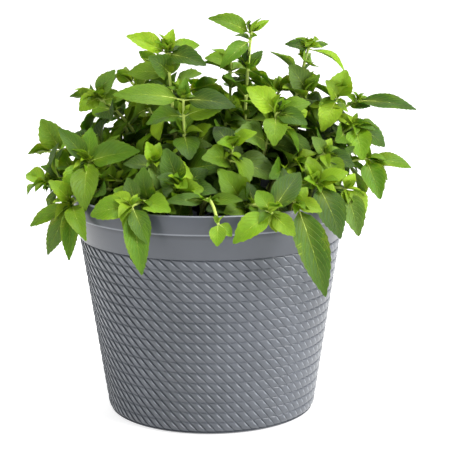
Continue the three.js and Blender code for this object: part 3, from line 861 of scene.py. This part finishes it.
def blade(name, rows, columns, tooth):
    top = sheet(name, rows, columns, tooth)
    under = sheet(name + "_under", rows, 1, tooth)
    select_where(under, lambda place: abs(place.x) < 1e-4 and 0.01 < place.y < 0.99)
    bpy.ops.transform.translate(value=(0, 0, -THIN * 2))
    bpy.ops.mesh.select_all(action="SELECT")
    bpy.ops.mesh.flip_normals()
    bpy.ops.object.mode_set(mode="OBJECT")
    for piece, value in ((top, 0.0), (under, 1.0)):
        side = piece.data.attributes.new("under", "FLOAT", "FACE")
        side.data.foreach_set("value", [value] * len(side.data))
    joined(top, under)
    bpy.ops.object.mode_set(mode="EDIT")
    bpy.ops.mesh.select_all(action="SELECT")
    bpy.ops.mesh.remove_doubles(threshold=1e-4)
    bpy.ops.object.mode_set(mode="OBJECT")
    return top


class Pattern:
    """What is copied of a blade: its corners, faces, map and which faces are its underside."""

    def __init__(self, piece):
        mesh = piece.data
        self.corners, self.faces = corners_and_faces(piece)
        self.map = np.array([point.uv for point in mesh.uv_layers[0].data])
        under = [mesh.attributes["under"].data[face.index].value for face in mesh.polygons]
        self.under = np.repeat(under, [len(face) for face in self.faces])
        print(piece.name, "has", len(self.faces), "faces")
        bpy.data.objects.remove(piece)


FINE = Pattern(blade("large_blade", 24, 3, TOOTH))
PLAIN = Pattern(blade("middle_blade", 14, 2, TOOTH))
SMALL = Pattern(blade("small_blade", 6, 1, 0))

# %% [markdown]
# ## Colours of the leaves
# Young leaves at the shoots' ends are a bright yellow-green, grown ones a full green, and the
# broad old ones lower down are darker or a little grey. The underside is always paler. Each
# leaf's colours are written to its corners, and the material draws its veins over them along the
# blade's map.

# %% Leaf colours
YOUNG = [(112, 146, 12), (98, 136, 12), (124, 156, 22)]
GROWN = [(88, 122, 10), (74, 110, 10), (62, 96, 8), (98, 132, 16)]
OLD = [(50, 80, 8), (60, 90, 14), (80, 108, 34), (40, 66, 8)]
UNDER = (116, 144, 34)
GROWN_SHARE = 0.62  # the rest of the leaves that are not young are old
UNDER_SHARE = 0.55


def leaf_colours(youth, rng):
    """A top and an underside colour for a leaf whose youth is from 0, old, to 1."""
    if rng.random() < youth:
        base = rng.choice(YOUNG)
    else:
        base = rng.choice(GROWN if rng.random() < GROWN_SHARE else OLD)
    shade = rng.uniform(0.9, 1.1)
    top = colour(*(min(255, part * shade) for part in base))
    paler = colour(*((part * (1 - UNDER_SHARE) + pale * UNDER_SHARE)
                     for part, pale in zip(base, UNDER)))
    return top[:3], paler[:3]


# %% [markdown]
# ## Laying the leaves
# A blade's flat corners are carried to their leaf: along its length, out to its sides, and up
# from its face. On the way the blade is bowed as its solid is, folded a little along the midrib,
# and waved at its edge, each leaf in its own way. Small leaves that real mint has in the corners
# between leaf and stem, and at the shoot's end, are laid the same way.

# %% A shoot's leaves as one mesh
STALK_SHARE = 0.1  # the bare stalk, as a part of a leaf's length
ANY_ANGLE = 6.28
WAVE = 0.09  # height of the edge's waves, as a part of the half-width
CURL_FROM = 0.45  # where the tip starts to curl


class Foliage:
    """Gathers the blades of one shoot."""

    def __init__(self):
        self.corners, self.faces, self.map, self.colours = [], [], [], []
        self.total = 0

    def lay(self, pattern, leaf, rng, youth, fold, start=STALK_SHARE):
        x, y, z = pattern.corners.T
        along = start + (1 - start) * y
        edge = np.abs(x)
        phase = np.where(x > 0, rng.uniform(0, ANY_ANGLE), rng.uniform(0, ANY_ANGLE))
        wave = WAVE * np.sin(y * rng.uniform(7, 12) + phase) * edge ** 1.5
        curl = rng.uniform(-0.06, 0.16) * leaf.length * np.clip(along - CURL_FROM, 0, 1) ** 2 * 2
        up = (leaf.width * (z + wave + fold * edge * np.sin(np.pi * np.clip(y, 0.02, 0.98)) ** 0.5)
              + leaf.bow * 4 * along * (1 - along) - curl)
        out = x * leaf.width * math.cos(fold)
        places = (np.outer(along * leaf.length, leaf.along) + np.outer(out, leaf.side)
                  + np.outer(up, leaf.face) + np.array(leaf.root))
        self.corners.append(places)
        self.faces += [tuple(corner + self.total for corner in face) for face in pattern.faces]
        self.total += len(places)
        self.map.append(pattern.map)
        top, paler = leaf_colours(youth, rng)
        share = pattern.under[:, None]
        rgb = np.array(top) * (1 - share) + np.array(paler) * share
        self.colours.append(np.hstack([rgb, 1 - share]))

    def piece(self, name):
        mesh = bpy.data.meshes.new(name)
        mesh.from_pydata(np.vstack(self.corners).tolist(), [], self.faces)
        mesh.uv_layers.new(name="blade").data.foreach_set("uv", np.vstack(self.map).ravel())
        tint = mesh.attributes.new("tint", "FLOAT_COLOR", "CORNER")
        tint.data.foreach_set("color", np.vstack(self.colours).ravel())
        piece = bpy.data.objects.new(name, mesh)
        bpy.context.scene.collection.objects.link(piece)
        return piece


class LittleLeaf:
    """A small leaf of its own, from a root and a direction."""

    def __init__(self, root, along, length, width, rng):
        self.root, self.length, self.width = root, length, width
        self.along = along.normalized()
        towards = Vector((rng.uniform(-0.4, 0.4), rng.uniform(-0.8, 0.1), 1))
        self.side = self.along.cross(towards).normalized()
        self.face = self.side.cross(self.along)
        self.bow = 0.1 * length


END_LEAVES = 4
END_LENGTHS = (8, 15)  # mm
CORNER_LEAVES = 2
CORNER_LENGTHS = (12, 27)  # mm
CORNERS_FROM = 24 * MM  # only leaves longer than this have small ones in their corner


def random_way(rng, lift):
    angle = rng.uniform(0, 2 * math.pi)
    return Vector((math.cos(angle), math.sin(angle), lift))


def add_little_leaves(foliage, stem, leaves, rng):
    """Young leaves at the shoot's end, and small ones between the big leaves and the stem."""
    made = []
    for _ in range(END_LEAVES):
        way = random_way(rng, rng.uniform(0.8, 1.8))
        length = rng.uniform(*END_LENGTHS) * MM
        made.append((LittleLeaf(stem.at(0.995), way, length, length * 0.28, rng), 0.9))
    for leaf in leaves:
        part = stem.nearest(leaf.root)
        for _ in range(CORNER_LEAVES if leaf.length > CORNERS_FROM else 0):
            way = leaf.along * 0.8 + stem.way(part) * 0.6 + random_way(rng, 0) * 0.7
            length = rng.uniform(*CORNER_LENGTHS) * MM
            made.append((LittleLeaf(leaf.root, way, length, length * 0.29, rng), part - 0.3))
    for little, youth in made:
        foliage.lay(SMALL, little, rng, youth, rng.uniform(0.25, 0.65), start=0.05)
    return [little for little, _ in made]


# %% [markdown]
# ## Stems and stalks
# A mint stem is square. It is drawn as a curve with a rounded square section, thinner towards its
# end and a little swollen where leaves join, and so is every leaf stalk, which runs on under its
# blade as the midrib. Turning the curves to mesh gives closed rods.

# %% Rods along curves
STEM_FOOT = 2.2 * MM
STEM_END = 1.2 * MM
STEM_BURIED = 5  # mm
STEM_POINTS = 15
JOINT_HALF = 0.012  # half the length of the swelling at a joint, as a part of the stem
JOINT_SWELLING = 1.25


def square_section():
    """A square with its corners cut, as a closed curve."""
    shape = bpy.data.curves.new("stem_section", "CURVE")
    shape.dimensions = "2D"
    line = shape.splines.new("POLY")
    corners = [(1, 0.55), (0.55, 1), (-0.55, 1), (-1, 0.55), (-1, -0.55), (-0.55, -1),
               (0.55, -1), (1, -0.55)]
    line.points.add(len(corners) - 1)
    for point, (x, y) in zip(line.points, corners):
        point.co = (x, y, 0, 1)
    line.use_cyclic_u = True
    section = bpy.data.objects.new("stem_section", shape)
    bpy.context.scene.collection.objects.link(section)
    return section


SECTION = square_section()


def rods(name, lines):
    """One mesh of rods. Each line is a list of (place, half-width)."""
    curve = bpy.data.curves.new(name, "CURVE")
    curve.dimensions = "3D"
    curve.bevel_mode = "OBJECT"
    curve.bevel_object = SECTION
    curve.use_fill_caps = True
    for line in lines:
        spline = curve.splines.new("POLY")
        spline.points.add(len(line) - 1)
        for point, (place, half) in zip(spline.points, line):
            point.co = (*place, 1)
            point.radius = half
    nothing_selected()
    piece = bpy.data.objects.new(name, curve)
    bpy.context.scene.collection.objects.link(piece)
    piece.select_set(True)
    bpy.context.view_layer.objects.active = piece
    bpy.ops.object.convert(target="MESH")
    return bpy.context.object


def stem_line(stem, joints):
    """The stem's points, from a little under the soil, with a swelling at each joint."""
    steps = (-JOINT_HALF, 0, JOINT_HALF)
    parts = sorted({i / STEM_POINTS for i in range(STEM_POINTS + 1)}
                   | {round(part + step, 3) for part in joints for step in steps
                      if 0 < part + step < 1})
    line = [(stem.foot - stem.way(0) * STEM_BURIED * MM, STEM_FOOT)]
    for part in parts:
        half = STEM_FOOT + (STEM_END - STEM_FOOT) * part
        swollen = JOINT_SWELLING if any(abs(part - joint) < 0.001 for joint in joints) else 1.0
        line.append((stem.at(part), half * swollen))
    return line


def stalk_line(stem, leaf, start=STALK_SHARE):
    """From the stem to the blade, and on under it as the midrib."""
    root = stem.at(min(stem.nearest(leaf.root), 0.99))
    thick = 0.35 * MM + 0.011 * leaf.length
    line = [(root, thick)]
    for part, share in ((start * 0.6, 0.8), (start + 0.03, 0.62), (0.3, 0.42), (0.55, 0.26)):
        below = leaf.face * (leaf.bow * 4 * part * (1 - part) - thick * share * 0.7)
        line.append((leaf.root + leaf.along * leaf.length * part + below, thick * share))
    return line


# %% [markdown]
# ## Leaf and stem materials
# A blade's own map runs across it and along it, so the midrib is the map's middle line and the
# side veins are slanting lines that bend towards the tip. The skin between the veins is puffed
# up, which gives mint its quilted look: the same lines feed the colour and the bump. A little
# light passes through the thin blade, which is set as a constant on the shader.

# %% Leaf material
green = Finish("mint_leaf", Subsurface_Weight=0.15, Subsurface_Scale=0.0015,
               Subsurface_Radius=(0.5, 1.0, 0.1), Specular_IOR_Level=0.25)
place = green.place()
across, along, _ = green.parts(green.add("ShaderNodeUVMap", {"uv_map": "blade"}))
tint = green.attribute("tint")
is_top = green.attribute("tint", "Alpha")
side = abs(across - 0.5) * 2
midrib = 1 - (side / (1.15 - along)).between(0.02, 0.075)
lean = (along - side * 0.24 - side * side * 0.2) * 7.5
vein = (abs(lean.fraction() - 0.5) * 2).between(0.8, 0.98)
vein = vein * side.between(0.02, 0.12) * (1 - side.between(0.8, 1.0))
net = green.add("ShaderNodeTexVoronoi", {"feature": "DISTANCE_TO_EDGE"},
                {"Vector": place, "Scale": 620.0})
cells = 1 - net.between(0.0, 0.12)
patches = green.grain(place, 110.0, 3.0, 0.6)
pale = green.blend(0.5, tint, colour(184, 204, 54))
base = green.blend(patches.between(0.3, 0.75) * 0.5, tint,
                   green.blend(1.0, tint, (0.62, 0.68, 0.5, 1), "MULTIPLY"))
base = green.blend(cells * 0.06 + vein * 0.24, base, pale)
glow = (1 - along.between(0.05, 0.55)) * (1 - side.between(0.1, 0.75))
base = green.blend(glow * 0.24, base, pale)
base = green.blend(midrib * 0.34, base, pale)
puffs = (1 - vein) * 0.6 + (1 - midrib) * 0.4 + net.between(0.0, 0.3) * 0.14
LEAF_MATERIAL = green.wear(
    Base_Color=base,
    Roughness=0.46 + patches * 0.12 + (1 - is_top) * 0.14,
    Normal=green.bump(puffs, 0.0009, 0.75))

# %% Stem material
stalk = Finish("mint_stem", Subsurface_Weight=0.1, Subsurface_Scale=0.001,
               Subsurface_Radius=(0.5, 1.0, 0.2), IOR=1.42)
place = stalk.place()
height = stalk.parts(place)[2]
streaks = stalk.grain(stalk.stretched(place, (1.0, 1.0, 0.12)), 500.0, 3.0, 0.6)
blotches = stalk.grain(place, 45.0, 2.0, 0.5)
fresh = stalk.blend(streaks, colour(160, 184, 74), colour(196, 212, 112))
woody = stalk.blend(streaks, colour(92, 104, 48), colour(128, 120, 70))
STEM_MATERIAL = stalk.wear(
    Base_Color=stalk.blend((height + blotches * 0.04).between(0.215, 0.24), woody, fresh),
    Roughness=0.44 + streaks * 0.14,
    Normal=stalk.bump(streaks, 0.0003, 0.6))

# %% [markdown]
# ## Growing every shoot
# Each shoot is one piece, stem, stalks and blades together, because it grew as one. Leaves near
# the shoot's end are young, and the biggest leaves take the finest blade.

# %% All shoots
BIG_LEAF = 54 * MM
YOUNG_FROM = 0.78  # the part of a stem where young leaves begin
YOUNG_SPAN = 0.22
YOUNG_LENGTH = 40 * MM
total_leaves = 0
for number, node in enumerate(SHOOT_NODES, 1):
    rng = random.Random(100 + number)
    stem, leaves = STEMS[node], LEAVES[node]
    foliage = Foliage()
    lines = []
    joints = sorted({round(stem.nearest(leaf.root), 2) for leaf in leaves})
    for leaf in leaves:
        part = stem.nearest(leaf.root)
        youth = max(0.0, (part - YOUNG_FROM) / YOUNG_SPAN)
        youth *= max(0.0, min(1.0, 1.6 - leaf.length / YOUNG_LENGTH))
        pattern = FINE if leaf.length > BIG_LEAF else PLAIN
        foliage.lay(pattern, leaf, rng, 0.05 + 0.7 * youth, rng.uniform(0.16, 0.46) + 0.1 * youth)
        lines.append(stalk_line(stem, leaf))
    little = add_little_leaves(foliage, stem, leaves, rng)
    blades = foliage.piece("blades")
    blades.data.materials.append(LEAF_MATERIAL)
    stems = rods("rods", [stem_line(stem, joints), *lines])
    stems.data.materials.clear()
    stems.data.materials.append(STEM_MATERIAL)
    shoot = named(joined(blades, stems), f"mint_{node}")
    bpy.ops.object.shade_smooth_by_angle(angle=math.radians(55))
    finished(shoot, "mint", node)
    total_leaves += len(leaves) + len(little)
bpy.data.objects.remove(SECTION)
print("leaves in all:", total_leaves)
